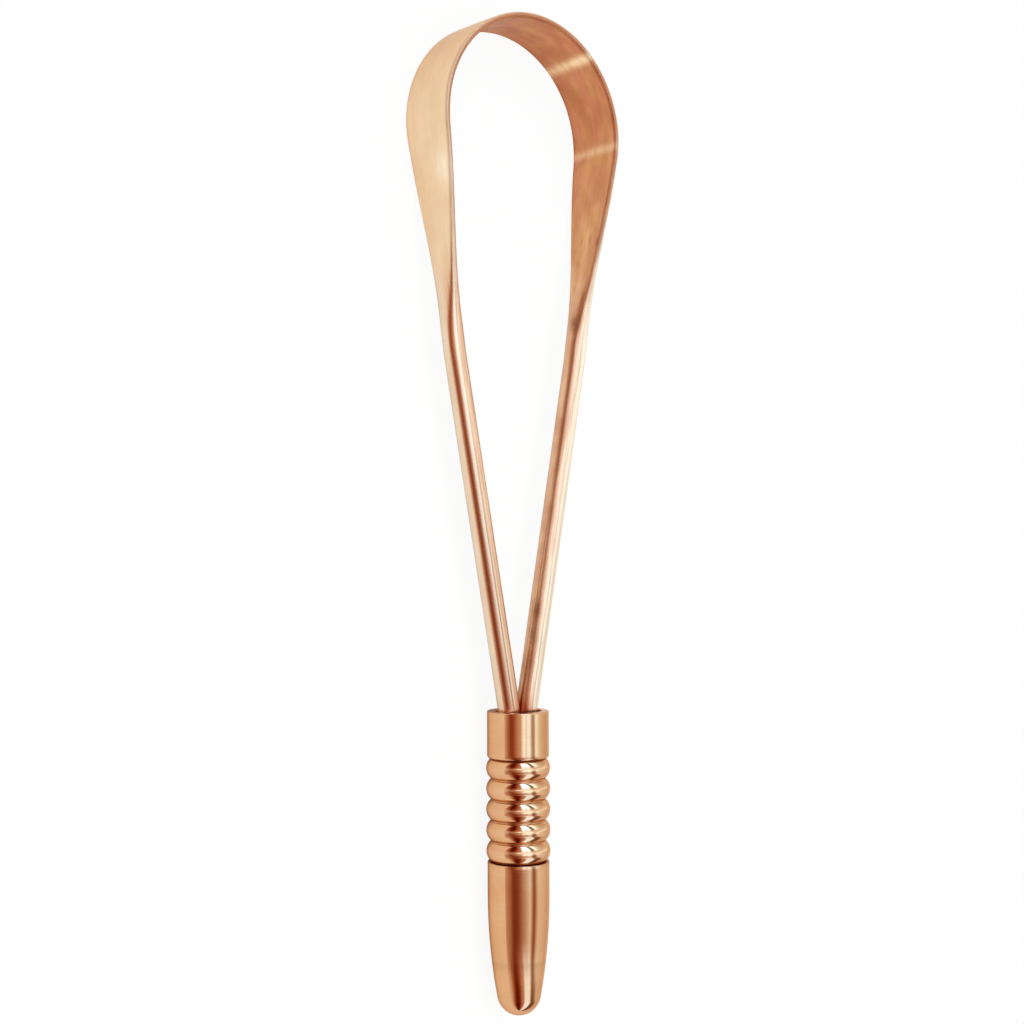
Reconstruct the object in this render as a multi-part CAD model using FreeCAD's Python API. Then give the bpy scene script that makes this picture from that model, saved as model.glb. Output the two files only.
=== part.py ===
import FreeCAD, Part
import math
import os

from FreeCAD import Vector

# Tongue scraper: one copper rod, flattened in its middle into a scraping band and bent into a teardrop
# loop, with its two round ends brazed side by side into a turned handle of three pieces.
#
# The object lies on its side. +Y runs along the handle's axis towards the loop, X across the loop and
# +Z up. The origin is the middle of the underside. Shapes are drawn with the handle's tip at zero and the
# handle's axis on Y, then moved to that place by settle().

# Driving sizes of the rod and the loop, in millimetres and degrees
ROD_D = 4.0                # round legs
BAND_WIDTH = 12.0          # flattened band, across its ground edges
BAND_THICKNESS = 1.05      # flattened band
EDGE_GRIND = 0.08          # ground off each rounded edge of the band, which leaves a narrow flat land
BAND_CROWN = 0.1           # how far the band's faces bulge: 0 is flat faces with round edges
ARCH_RADIUS = 19.8         # middle of the band, round the top of the loop
LOOP_REACH = 125.1         # from the collar's rim to the top of the loop
BAND_LEG_LEAN = 8.3        # slope of the straight flattened stretches to the axis
BAND_LEG_LENGTH = 38.2     # from the end of the arch to the corner where the leg turns inwards
FULL_WIDTH_ANGLE = 4.5     # the band is at full width above this angle of the arch
SHOULDER_RADIUS = 60.0     # small bend where the flattened stretch meets the round leg
LEG_STRAIGHT = 0.5         # from the collar's rim to the corner where the legs part
NECK_RADIUS = 12.0         # bend where the legs part
LEG_GAP = 0.2              # between the two legs inside the handle

# Driving sizes of the handle
BORE_CLEARANCE = 0.1       # round the pair of legs
COLLAR_LENGTH = 8.45
COLLAR_WALL = 1.4
BEAD_COUNT = 5
BEAD_PITCH = 3.73
BEAD_RISE = 0.9            # from a groove's root to a bead's crest
GRIP_WALL = 0.7            # under the grooves
CAP_LENGTH = 27.8
CAP_D = 11.2
CAP_LAND = 6.0             # cylindrical stretch of the cap next to the grip
NOSE_RADIUS = 4.0          # ball end of the cap, met by a long curve from that stretch
SPIGOT_LENGTH = 8.0
SPIGOT_CLEARANCE = 0.05
CORNER_ROUND = 0.5         # collar's lower corner
EDGE_BREAK = 0.25          # small chamfers on the collar's rim, the cap's shoulder and the spigot
BRAZE_SETBACK = 0.3        # the filler stops this far below the collar's rim

# Places along the axis, from the tip of the handle
GRIP_LENGTH = BEAD_COUNT * BEAD_PITCH
GRIP_TOP = CAP_LENGTH + GRIP_LENGTH
RIM = GRIP_TOP + COLLAR_LENGTH
SPIGOT_TOP = CAP_LENGTH + SPIGOT_LENGTH
TOTAL_LENGTH = RIM + LOOP_REACH

# Diameters that follow from the legs
BORE_R = ROD_D + LEG_GAP / 2 + BORE_CLEARANCE
COLLAR_R = BORE_R + COLLAR_WALL
GROOVE_R = BORE_R + GRIP_WALL
BEAD_R = GROOVE_R + BEAD_RISE
SPIGOT_R = BORE_R - SPIGOT_CLEARANCE
CAP_R = CAP_D / 2
AXIS_HEIGHT = max(BEAD_R, BAND_WIDTH / 2)

# Corners of a leg's middle line, in the plane of the loop
LEG_X = (ROD_D + LEG_GAP) / 2
BAND_LEAN = math.radians(BAND_LEG_LEAN)
FULL_ANGLE = math.radians(FULL_WIDTH_ANGLE)
ARCH_CENTRE = Vector(0, TOTAL_LENGTH - BAND_THICKNESS / 2 - ARCH_RADIUS, 0)
ARCH_END = ARCH_CENTRE + Vector(math.cos(BAND_LEAN), -math.sin(BAND_LEAN), 0) * ARCH_RADIUS
BAND_LEG_UP = Vector(math.sin(BAND_LEAN), math.cos(BAND_LEAN), 0)
SHOULDER = ARCH_END - BAND_LEG_UP * BAND_LEG_LENGTH
NECK = Vector(LEG_X, RIM + LEG_STRAIGHT, 0)
LEG_LEAN = math.atan2(SHOULDER.x - NECK.x, SHOULDER.y - NECK.y)
LEG_UP = Vector(math.sin(LEG_LEAN), math.cos(LEG_LEAN), 0)

# An oval of four arcs with this crown and equal axes is a true circle
SINE_45 = math.sqrt(0.5)
ROUND_CROWN = SINE_45
TAPER_STATIONS = 15        # outlines that the flattening stretch runs through
ACROSS = Vector(0, 0, 1)
AXIS_START = Vector(0, 0, 0)
AXIS_UP = Vector(0, 1, 0)


def settle(shape):
    """Move a shape from the tip of the handle to the middle of the underside."""
    return shape.translated(Vector(0, -TOTAL_LENGTH / 2, AXIS_HEIGHT))


def turned(start, strokes):
    """Solid of revolution about the handle's axis.

    Points are (radius, distance from the tip). A stroke of one point is a line to it, and a stroke of two
    points is an arc through the first to the second.
    """
    edges = []
    here = Vector(*start, 0)
    for stroke in strokes:
        points = [Vector(*point, 0) for point in stroke]
        if len(points) == 1:
            edges.append(Part.LineSegment(here, points[0]).toShape())
        else:
            edges.append(Part.Arc(here, *points).toShape())
        here = points[-1]
    return Part.Face(Part.Wire(edges)).revolve(AXIS_START, AXIS_UP, 360)


def rounded_corner(radius, y, size):
    """Arc that takes an outer lower corner off a turned piece, from its end face to its side."""
    slack = size * (1 - SINE_45)
    return [(radius - slack, y + slack), (radius, y + size)]


def oval(middle, along, half_width, half_thickness, crown):
    """Closed outline of four tangent arcs, square to the leg: two narrow edges and two crowned faces."""
    outward = along.cross(ACROSS)
    ratio = half_thickness / half_width
    slope = crown * ratio / (1 + crown * ratio)
    edge_r = half_thickness * (1 - crown * (1 - ratio))
    turn = math.pi / 2 - 2 * math.atan(slope)
    joint_across = half_width - edge_r + edge_r * math.cos(turn)
    joint_out = edge_r * math.sin(turn)

    def at(across, out):
        return middle + ACROSS * across + outward * out

    joints = [at(joint_across, -joint_out), at(joint_across, joint_out),
              at(-joint_across, joint_out), at(-joint_across, -joint_out)]
    crests = [at(half_width, 0), at(0, half_thickness), at(-half_width, 0), at(0, -half_thickness)]
    arcs = [Part.Arc(joints[i], crests[i], joints[(i + 1) % 4]).toShape() for i in range(4)]
    return Part.Wire(arcs)


def rod_outline(middle, along):
    """Round outline of a leg, as four equal arcs."""
    return oval(middle, along, ROD_D / 2, ROD_D / 2, ROUND_CROWN)


def rod_straight(start, end):
    """Straight round stretch between two points of a leg."""
    return Part.Face(rod_outline(start, (end - start).normalize())).extrude(end - start)


def rod_bend(start, along, radius, turn):
    """Round stretch that leaves start along a direction and turns in the loop's plane.

    A positive turn is outwards, away from the handle's axis.
    """
    side = along.cross(ACROSS)
    centre = start + side * math.copysign(radius, turn)
    return Part.Face(rod_outline(start, along)).revolve(centre, ACROSS * -1, math.degrees(turn))


def bend_setback(radius, turn):
    """Distance from a corner to the start of the arc that rounds it."""
    return radius * math.tan(abs(turn) / 2)


def taper_section(share, middle, along):
    """Outline of the flattened rod, from round at share 0 to the full band at share 1.

    The width follows a smooth step, and the section's area runs evenly between the two ends.
    """
    ease = share * share * (3 - 2 * share)
    band_half = BAND_WIDTH / 2 + EDGE_GRIND
    half_width = ROD_D / 2 + (band_half - ROD_D / 2) * ease
    rod_area = (ROD_D / 2) ** 2
    band_area = band_half * BAND_THICKNESS / 2
    half_thickness = (rod_area + (band_area - rod_area) * ease) / half_width
    crown = ROUND_CROWN + (BAND_CROWN - ROUND_CROWN) * ease
    return oval(middle, along, half_width, half_thickness, crown)


def taper(start):
    """Stretch that flattens from the round leg at start, up the straight and onto the arch."""
    straight = (ARCH_END - start).Length
    whole = straight + ARCH_RADIUS * (BAND_LEAN + FULL_ANGLE)
    sections = []
    for station in range(TAPER_STATIONS):
        share = station / (TAPER_STATIONS - 1)
        distance = share * whole
        if distance <= straight:
            middle = start + BAND_LEG_UP * distance
            along = BAND_LEG_UP
        else:
            angle = (distance - straight) / ARCH_RADIUS - BAND_LEAN
            middle = ARCH_CENTRE + Vector(math.cos(angle), math.sin(angle), 0) * ARCH_RADIUS
            along = Vector(-math.sin(angle), math.cos(angle), 0)
        sections.append(taper_section(share, middle, along))
    return Part.makeLoft(sections, True, False)


def leg():
    """Solids of one side of the loop, from its end in the handle up to the full width of the band."""
    foot = Vector(LEG_X, SPIGOT_TOP, 0)
    neck_setback = bend_setback(NECK_RADIUS, LEG_LEAN)
    shoulder_turn = BAND_LEAN - LEG_LEAN
    shoulder_setback = bend_setback(SHOULDER_RADIUS, shoulder_turn)
    neck_start = NECK - AXIS_UP * neck_setback
    neck_end = NECK + LEG_UP * neck_setback
    shoulder_start = SHOULDER - LEG_UP * shoulder_setback
    shoulder_end = SHOULDER + BAND_LEG_UP * shoulder_setback
    return [
        rod_straight(foot, neck_start),
        rod_bend(neck_start, AXIS_UP, NECK_RADIUS, LEG_LEAN),
        rod_straight(neck_end, shoulder_start),
        rod_bend(shoulder_start, LEG_UP, SHOULDER_RADIUS, shoulder_turn),
        taper(shoulder_end),
    ]


def arch():
    """Band of full width round the top of the loop."""
    side = Vector(math.cos(FULL_ANGLE), math.sin(FULL_ANGLE), 0)
    along = Vector(-math.sin(FULL_ANGLE), math.cos(FULL_ANGLE), 0)
    outline = taper_section(1, ARCH_CENTRE + side * ARCH_RADIUS, along)
    return Part.Face(outline).revolve(ARCH_CENTRE, ACROSS, 180 - 2 * FULL_WIDTH_ANGLE)


def scraper_loop():
    """The whole rod: arch, two flattened stretches and two legs, with the band's edges ground flat."""
    right = leg()
    left = [solid.mirror(AXIS_START, Vector(1, 0, 0)) for solid in right]
    rod = arch().fuse(right + left).removeSplitter()
    reach = TOTAL_LENGTH + ARCH_RADIUS
    slab = Part.makeBox(2 * reach, 2 * reach, BAND_WIDTH, Vector(-reach, -reach, -BAND_WIDTH / 2))
    return rod.common(slab)


def collar():
    """Plain sleeve round the legs, with a rounded lower corner and a chamfered rim."""
    return turned((BORE_R, GRIP_TOP), [
        [(COLLAR_R - CORNER_ROUND, GRIP_TOP)],
        rounded_corner(COLLAR_R, GRIP_TOP, CORNER_ROUND),
        [(COLLAR_R, RIM - EDGE_BREAK)],
        [(COLLAR_R - EDGE_BREAK, RIM)],
        [(BORE_R + EDGE_BREAK, RIM)],
        [(BORE_R, RIM - EDGE_BREAK)],
        [(BORE_R, GRIP_TOP)],
    ])


def beaded_grip():
    """Sleeve with a row of ring beads, bored through for the legs and the cap's spigot."""
    strokes = [[(GROOVE_R, CAP_LENGTH)]]
    for bead in range(BEAD_COUNT):
        low = CAP_LENGTH + bead * BEAD_PITCH
        strokes.append([(BEAD_R, low + BEAD_PITCH / 2), (GROOVE_R, low + BEAD_PITCH)])
    strokes.append([(BORE_R, GRIP_TOP)])
    strokes.append([(BORE_R, CAP_LENGTH)])
    return turned((BORE_R, CAP_LENGTH), strokes)


def end_cap():
    """Bullet-shaped end: a short cylinder, a long ogive and a round nose, with a spigot for the grip.

    The ogive's radius is the one whose arc is tangent to both the cylinder and the nose's ball.
    """
    land_end = CAP_LENGTH - CAP_LAND
    ogive_radius = (land_end ** 2 + CAP_R ** 2 - 2 * NOSE_RADIUS * land_end) / (CAP_R - NOSE_RADIUS) / 2
    slope = math.asin((land_end - NOSE_RADIUS) / (ogive_radius - NOSE_RADIUS))

    def on_nose(angle):
        return (NOSE_RADIUS * math.cos(angle), NOSE_RADIUS * (1 - math.sin(angle)))

    def on_ogive(angle):
        return (CAP_R - ogive_radius * (1 - math.cos(angle)), land_end - ogive_radius * math.sin(angle))

    return turned((0, 0), [
        [on_nose((slope + math.pi / 2) / 2), on_nose(slope)],
        [on_ogive(slope / 2), (CAP_R, land_end)],
        [(CAP_R, CAP_LENGTH - EDGE_BREAK)],
        [(CAP_R - EDGE_BREAK, CAP_LENGTH)],
        [(SPIGOT_R, CAP_LENGTH)],
        [(SPIGOT_R, SPIGOT_TOP - EDGE_BREAK)],
        [(SPIGOT_R - EDGE_BREAK, SPIGOT_TOP)],
        [(0, SPIGOT_TOP)],
        [(0, 0)],
    ])


def braze_fill(loop):
    """Filler metal round the legs, from the top of the spigot to just below the rim."""
    length = RIM - BRAZE_SETBACK - SPIGOT_TOP
    plug = Part.makeCylinder(BORE_R, length, Vector(0, SPIGOT_TOP, 0), AXIS_UP)
    return plug.cut(loop)


def main():
    """Build the five pieces and write each to its own file."""
    os.makedirs("parts", exist_ok=True)
    loop = scraper_loop()
    pieces = {
        "scraper_loop": loop,
        "collar": collar(),
        "beaded_grip": beaded_grip(),
        "end_cap": end_cap(),
        "braze_fill": braze_fill(loop),
    }
    for name, shape in pieces.items():
        solid = settle(shape).Solids[0]
        solid.exportStep(f"parts/{name}.step")
        print(f"{name}: {solid.Volume:.1f} mm3, valid {solid.isValid()}, solids {len(shape.Solids)}")


main()
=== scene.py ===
"""Looks of a copper tongue scraper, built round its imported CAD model.

A rod flattened into a scraping band and bent to a teardrop loop, with its two legs brazed into a turned
handle made of a collar, a beaded grip and a bullet-shaped cap. All sizes are in metres, in the CAD frame:
+Y runs along the handle towards the loop, X across the loop and +Z up.
"""

import math

import bpy
import numpy as np
from mathutils import Matrix, Vector


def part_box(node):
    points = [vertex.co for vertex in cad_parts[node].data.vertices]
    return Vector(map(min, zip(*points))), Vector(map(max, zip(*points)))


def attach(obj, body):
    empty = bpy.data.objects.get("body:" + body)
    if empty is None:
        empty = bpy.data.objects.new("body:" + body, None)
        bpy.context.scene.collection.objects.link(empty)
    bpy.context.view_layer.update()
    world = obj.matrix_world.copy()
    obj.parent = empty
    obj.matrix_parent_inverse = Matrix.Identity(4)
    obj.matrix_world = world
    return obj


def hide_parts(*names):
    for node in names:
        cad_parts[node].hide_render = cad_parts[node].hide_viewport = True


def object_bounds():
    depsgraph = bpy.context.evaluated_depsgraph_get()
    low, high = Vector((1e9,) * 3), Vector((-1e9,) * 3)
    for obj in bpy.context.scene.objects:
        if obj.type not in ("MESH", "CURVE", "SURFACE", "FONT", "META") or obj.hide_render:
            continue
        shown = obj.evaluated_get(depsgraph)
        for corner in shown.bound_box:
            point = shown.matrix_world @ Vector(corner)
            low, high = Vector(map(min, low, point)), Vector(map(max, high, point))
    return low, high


bl_info = {
    "name": "Copper tongue scraper",
    "version": (1, 0, 0),
    "blender": (4, 5, 0),
    "location": "3D View > Sidebar > Scraper",
    "description": "Builds a copper tongue scraper with its loop, turned handle and studio stage",
    "category": "Object",
}

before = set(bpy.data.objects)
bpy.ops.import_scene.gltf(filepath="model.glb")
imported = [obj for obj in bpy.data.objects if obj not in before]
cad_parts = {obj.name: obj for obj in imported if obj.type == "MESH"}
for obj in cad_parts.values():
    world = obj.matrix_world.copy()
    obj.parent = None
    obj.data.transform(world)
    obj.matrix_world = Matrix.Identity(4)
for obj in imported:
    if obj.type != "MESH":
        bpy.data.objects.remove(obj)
CAD_LOW, CAD_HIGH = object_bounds()
LOOP_LOW, LOOP_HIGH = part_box("scraper_loop")
COLLAR_LOW, COLLAR_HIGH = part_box("collar")
GRIP_LOW, GRIP_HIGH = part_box("beaded_grip")
CAP_LOW, CAP_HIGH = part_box("end_cap")
BRAZE_LOW, BRAZE_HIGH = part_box("braze_fill")

AXIS_HEIGHT = (COLLAR_LOW.z + COLLAR_HIGH.z) / 2
ROUND_CROWN = math.sqrt(0.5)
MM = 0.001

# What the metal shows of the studio: degrees round the handle's axis from overhead towards +X, and colour
HANDLE_SIDE_PANELS = (
    (-102, (1.0, 1.0, 1.0)), (-90, (0.86, 0.72, 0.65)), (-78, (0.54, 0.26, 0.17)),
    (-67, (0.30, 0.07, 0.03)), (-57, (0.36, 0.10, 0.05)), (-47, (0.58, 0.28, 0.18)),
    (-38, (0.78, 0.54, 0.46)), (-30, (0.74, 0.60, 0.56)), (-24, (1.20, 1.40, 1.75)),
    (-17, (1.55, 2.10, 2.95)), (-10, (1.05, 1.45, 2.05)), (0, (1.50, 2.10, 3.00)),
    (8, (1.15, 1.55, 2.05)), (13, (0.56, 0.55, 0.50)), (22, (0.54, 0.52, 0.48)),
    (30, (1.40, 1.85, 2.25)), (40, (1.12, 1.38, 1.66)), (54, (0.90, 0.95, 0.96)),
    (72, (0.86, 0.80, 0.76)), (95, (0.82, 0.76, 0.76)))
HANDLE_END_PANELS = HANDLE_SIDE_PANELS[:8] + (
    (-24, (1.05, 1.20, 1.42)), (-17, (1.20, 1.46, 1.84)), (-10, (1.06, 1.28, 1.60)),
    (0, (1.20, 1.46, 1.84)), (8, (1.02, 1.16, 1.36)), (13, (0.66, 0.58, 0.53)),
    (18, (0.46, 0.31, 0.25)), (37, (0.46, 0.31, 0.25)), (49, (0.80, 0.73, 0.70)),
    (62, (0.93, 0.90, 0.88)), (95, (0.84, 0.77, 0.77)))
DIM_PANELS = (
    (-104, (1.0, 1.0, 1.0)), (-94, (0.88, 0.76, 0.70)), (-84, (0.66, 0.42, 0.34)),
    (-72, (0.52, 0.27, 0.20)), (-61, (0.27, 0.07, 0.04)), (-47, (0.25, 0.06, 0.03)),
    (-36, (0.36, 0.13, 0.09)), (-26, (0.54, 0.32, 0.27)), (-16, (0.66, 0.50, 0.48)),
    (-5, (0.86, 0.82, 0.88)), (4, (1.02, 1.10, 1.28)), (10, (0.76, 0.66, 0.64)),
    (16, (0.38, 0.18, 0.14)), (24, (0.38, 0.18, 0.14)), (32, (0.78, 0.70, 0.68)),
    (40, (1.00, 1.06, 1.14)), (60, (0.97, 0.97, 1.0)), (95, (0.86, 0.80, 0.78)))
WINDOW_PANELS = (
    (-102, (1.0, 1.0, 1.0)), (-86, (0.88, 0.80, 0.75)), (-70, (0.46, 0.24, 0.17)),
    (-57, (0.44, 0.22, 0.16)), (-46, (0.50, 0.30, 0.24)), (-33, (0.66, 0.52, 0.48)),
    (-20, (1.30, 1.50, 1.80)), (-10, (1.75, 2.15, 2.70)), (8, (1.75, 2.15, 2.70)),
    (18, (1.25, 1.40, 1.55)), (84, (1.25, 1.40, 1.55)), (97, (1.10, 1.15, 1.20)))
FAR_WALL_PANELS = (
    (-102, (1.0, 1.0, 1.0)), (-86, (0.92, 0.87, 0.84)), (-70, (0.56, 0.38, 0.31)),
    (-60, (0.56, 0.38, 0.31)), (-50, (0.74, 0.64, 0.61)), (-38, (1.45, 1.70, 2.05)),
    (0, (1.45, 1.70, 2.05)), (20, (0.92, 0.98, 1.10)), (60, (0.90, 0.98, 1.12)),
    (97, (0.95, 0.97, 1.0)))

# Where those panels run into each other: Y of a direction, from -1 past the handle to +1 past the loop
ASKEW_EDGE = (-0.6, -0.4)
STRIP_FAR_EDGE = (-0.52, -0.37)
HANDLE_END_EDGE = (-0.5, -0.38)
STRIP_NEAR_EDGE = (-0.19, -0.155)
WINDOW_EDGE = (-0.1, 0.08)
FAR_WALL_EDGE = (0.15, 0.2)
LOOP_END_EDGE = (0.31, 0.37)
CONTRAST_EDGE = (0.3, 0.75)
END_CONTRAST = 2.0
ASKEW_TURN = math.radians(18)

# How finely the surfaces are divided
LEG_STATIONS = 330
EDGE_POINTS = 20
FACE_POINTS = 26
TURNED_SEGMENTS = 192
ROUND_POINTS = 9
BEAD_POINTS = 32
BALL_POINTS = 40
OGIVE_POINTS = 60
BRAZE_SEGMENTS = 240
BRAZE_TOP_POINTS = 17
BRAZE_FOOT_POINTS = 9

# Marks on the loop, in millimetres along the rod from the top (right half positive) and up the band
# Cross band, a painted highlight: place, spread, slant, strength, rise. Spot or patch: place, height,
# length, width, depth
HIGHLIGHT_BANDS = ((14.3, 0.95, 0.04, 0.95, 0.15), (31.9, 0.85, 0.03, 0.5, 0.0))
RUBBED_PATCH = (-40.2, 3.6, 3.0, 2.0, 0.8)
INNER_SPOTS = (
    (49.4, 1.7, 0.9, 0.35, 0.3), (49.8, 3.5, 0.7, 0.35, 0.3), (49.4, -0.5, 0.8, 0.45, 0.2),
    (53.8, -0.8, 0.8, 0.45, 0.22), (58.5, -0.8, 0.6, 0.35, 0.25), (65.4, 0.7, 1.5, 0.75, 0.55),
    (119.5, 1.0, 2.2, 0.65, 0.5), (124.0, 1.0, 1.6, 0.65, 0.35), (129.0, 1.0, 2.0, 0.65, 0.2))
OUTER_STEEPNESS = 0.75
# Inner warmth is partly painted shade: the inner face is redder and darker towards the top of the arch
INNER_WARMTH_AND_SHADE = (58.0, 22.0)
OUTER_WARMTH_TOP = (32.0, 10.0)
OUTER_WARMTH_TAPER = (52.0, 74.0)
# Heat tint by the rim, with painted shade where the legs face each other
HEAT_AND_SHADE_REACH = 2.4
HEAT_AND_SHADE_SHARE = 0.75
HEAT_AND_SHADE_OUTSIDE = 0.3
HEAT_AND_SHADE_DARKENING = 0.06

# Fine sizes of the turned pieces and the filler, in metres
GRIND_SOFTNESS = 0.000012
BORE_EDGE = 0.00005
BORE_DARKENING_DEPTH = 0.0004
SEAM_SPREAD = 0.0002
GROOVE_SPREAD = 0.00013
CREST_DEPTH = 0.00012
CAP_RING_PLACE = 0.0098
CAP_RING_SPREAD = 0.0006
HOLLOW_WIDTH = 0.0012
HOLLOW_DEPTH = 0.35
HOLLOW_DARKENING_DEPTH = 0.0004

# The stage, in metres
FLOOR_REACH = 4.0
FLOOR_POINTS = 5
FLOOR_FADE = (0.25, 1.8)
LAMP_PLACE = (-0.11, 0, 0.6)
LAMP_TARGET = (-0.11, 0, 0)
LAMP_WIDTH = 0.4
LAMP_LENGTH = 4.0
SENSOR_WIDTH = 36


class LoopSizes(bpy.types.PropertyGroup):
    """Sizes of the flattened rod and of the teardrop that it is bent to."""
    rod_diameter: bpy.props.FloatProperty(
        name="Rod", description="Diameter of the round legs", default=0.004, unit="LENGTH")
    band_width: bpy.props.FloatProperty(
        name="Band width", description="Across the band's ground edges",
        default=LOOP_HIGH.z - LOOP_LOW.z, unit="LENGTH")
    band_thickness: bpy.props.FloatProperty(
        name="Band thickness", description="Thickness of the flattened band",
        default=0.00105, unit="LENGTH")
    edge_grind: bpy.props.FloatProperty(
        name="Edge grind", description="Ground off each rounded edge of the band",
        default=0.00008, unit="LENGTH")
    band_crown: bpy.props.FloatProperty(
        name="Band crown", description="How far the band's faces bulge, from 0 for flat", default=0.1)
    arch_radius: bpy.props.FloatProperty(
        name="Arch radius", description="Middle of the band round the top",
        default=0.0198, unit="LENGTH")
    band_leg_lean: bpy.props.FloatProperty(
        name="Band lean", description="Slope of the straight flattened stretches to the axis",
        default=math.radians(8.3), subtype="ANGLE")
    band_leg_length: bpy.props.FloatProperty(
        name="Band leg", description="From the end of the arch to the shoulder",
        default=0.0382, unit="LENGTH")
    full_width_angle: bpy.props.FloatProperty(
        name="Full width from", description="The band is at full width above this angle of the arch",
        default=math.radians(4.5), subtype="ANGLE")
    shoulder_radius: bpy.props.FloatProperty(
        name="Shoulder radius", description="Bend between flattened stretch and leg",
        default=0.06, unit="LENGTH")
    neck_radius: bpy.props.FloatProperty(
        name="Neck radius", description="Bend where the legs part", default=0.012, unit="LENGTH")
    leg_straight: bpy.props.FloatProperty(
        name="Leg straight", description="From the collar's rim to where the legs part",
        default=0.0005, unit="LENGTH")
    leg_gap: bpy.props.FloatProperty(
        name="Leg gap", description="Between the two legs in the handle", default=0.0002, unit="LENGTH")


class HandleSizes(bpy.types.PropertyGroup):
    """Sizes of the turned handle and of the filler metal in it."""
    bore_radius: bpy.props.FloatProperty(
        name="Bore radius", description="Bore of the collar and the grip", default=0.0042, unit="LENGTH")
    collar_radius: bpy.props.FloatProperty(
        name="Collar radius", description="Outside of the collar",
        default=(COLLAR_HIGH.z - COLLAR_LOW.z) / 2, unit="LENGTH")
    collar_corner: bpy.props.FloatProperty(
        name="Collar corner", description="Rounding of the collar's lower corner",
        default=0.0005, unit="LENGTH")
    rim_round: bpy.props.FloatProperty(
        name="Rim rounding", description="Rounding of the rim and of the cap's shoulder",
        default=0.0002, unit="LENGTH")
    bead_count: bpy.props.IntProperty(
        name="Beads", description="Ring beads on the grip", default=5, min=1)
    bead_rise: bpy.props.FloatProperty(
        name="Bead rise", description="From a groove's root to a bead's crest",
        default=0.0009, unit="LENGTH")
    bead_radius: bpy.props.FloatProperty(
        name="Bead radius", description="Handle's axis to the crest of a bead",
        default=(GRIP_HIGH.z - GRIP_LOW.z) / 2, unit="LENGTH")
    cap_radius: bpy.props.FloatProperty(
        name="Cap radius", description="Cylindrical stretch of the cap",
        default=(CAP_HIGH.z - CAP_LOW.z) / 2, unit="LENGTH")
    cap_land: bpy.props.FloatProperty(
        name="Cap land", description="Length of the cap's cylindrical stretch",
        default=0.006, unit="LENGTH")
    nose_radius: bpy.props.FloatProperty(
        name="Nose radius", description="Ball end of the cap", default=0.004, unit="LENGTH")
    spigot_radius: bpy.props.FloatProperty(
        name="Spigot radius", description="Spigot of the cap in the grip's bore",
        default=0.00415, unit="LENGTH")


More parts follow.
